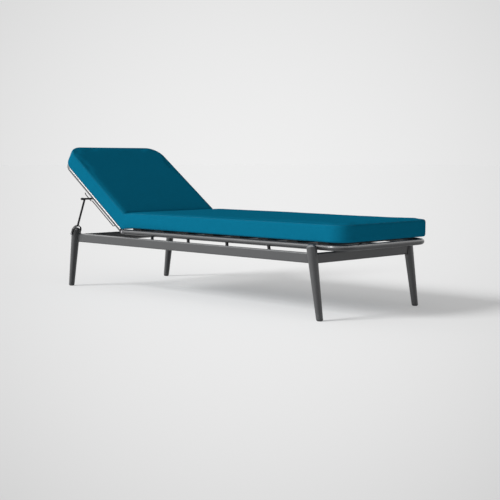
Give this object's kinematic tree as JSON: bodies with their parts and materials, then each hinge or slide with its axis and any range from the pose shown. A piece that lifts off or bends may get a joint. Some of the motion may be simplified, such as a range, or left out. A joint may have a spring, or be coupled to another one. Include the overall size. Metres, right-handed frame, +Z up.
{
  "type": "sun lounger",
  "caption": "Sun lounger on tapered legs with a bent-tube frame, a hinged back held up by a folding prop, and a teal pad.",
  "frame": {"origin": "on the floor, midway along the raised lounger and midway between its sides", "axes": "+X towards the foot end, +Y towards the lying person's left, +Z up"},
  "size_m": [1.952, 0.711, 0.7261],
  "materials": {
    "frame_metal": "matt grey powder coat",
    "prop_steel": "satin black coat",
    "slat_coat": "matt black coat",
    "pin_steel": "dull steel",
    "black_plastic": "matt black",
    "glide_plastic": "matt dark grey",
    "cushion_fabric": "plain teal outdoor weave"
  },
  "bodies": {
    "base": {"foot_glide_front_left": "glide_plastic", "foot_glide_front_right": "glide_plastic", "foot_glide_rear_left": "glide_plastic", "foot_glide_rear_right": "glide_plastic", "frame_stays_left": "frame_metal", "frame_stays_right": "frame_metal", "front_rail": "frame_metal", "hinge_fork_left": "frame_metal", "hinge_fork_right": "frame_metal", "hinge_pin_left": "pin_steel", "hinge_pin_right": "pin_steel", "leg_front_left": "frame_metal", "leg_front_right": "frame_metal", "leg_rear_left": "frame_metal", "leg_rear_right": "frame_metal", "pivot_pin_left": "pin_steel", "pivot_pin_right": "pin_steel", "rear_rail": "frame_metal", "seat_cross_tube": "frame_metal", "seat_frame": "frame_metal", "seat_pad": "cushion_fabric", "seat_slat_1": "slat_coat", "seat_slat_2": "slat_coat", "seat_slat_3": "slat_coat", "seat_slat_4": "slat_coat", "seat_slat_5": "slat_coat", "seat_slat_6": "slat_coat", "seat_slat_7": "slat_coat", "seat_slat_8": "slat_coat", "side_rail_left": "frame_metal", "side_rail_right": "frame_metal"},
    "back": {"back_cross_tube": "frame_metal", "back_frame": "frame_metal", "back_pad": "cushion_fabric", "back_slat_1": "slat_coat", "back_slat_2": "slat_coat", "back_slat_3": "slat_coat", "back_slat_4": "slat_coat", "hinge_bush_left": "black_plastic", "hinge_bush_right": "black_plastic", "hinge_tongue_left": "frame_metal", "hinge_tongue_right": "frame_metal", "rack_left": "frame_metal", "rack_right": "frame_metal"},
    "prop": {"prop_bar": "prop_steel", "prop_bar_cap_left": "black_plastic", "prop_bar_cap_right": "black_plastic", "prop_rod_left": "prop_steel", "prop_rod_right": "prop_steel", "prop_yoke_left": "prop_steel", "prop_yoke_right": "prop_steel"}
  },
  "joints": [
    {"name": "back_recline", "type": "hinge", "parent": "base", "child": "back", "pos_m": [-0.472, 0, 0.301], "axis": [0, -1, 0], "range_deg": [0, 35]},
    {"name": "prop_swing", "type": "hinge", "parent": "base", "child": "prop", "pos_m": [-0.82712, 0, 0.277], "axis": [0, -1, 0], "range_deg": [0, 154]}
  ],
  "couplings": [
    {"joint": "prop_swing", "follows": "back_recline", "ratio": 4.4}
  ]
}
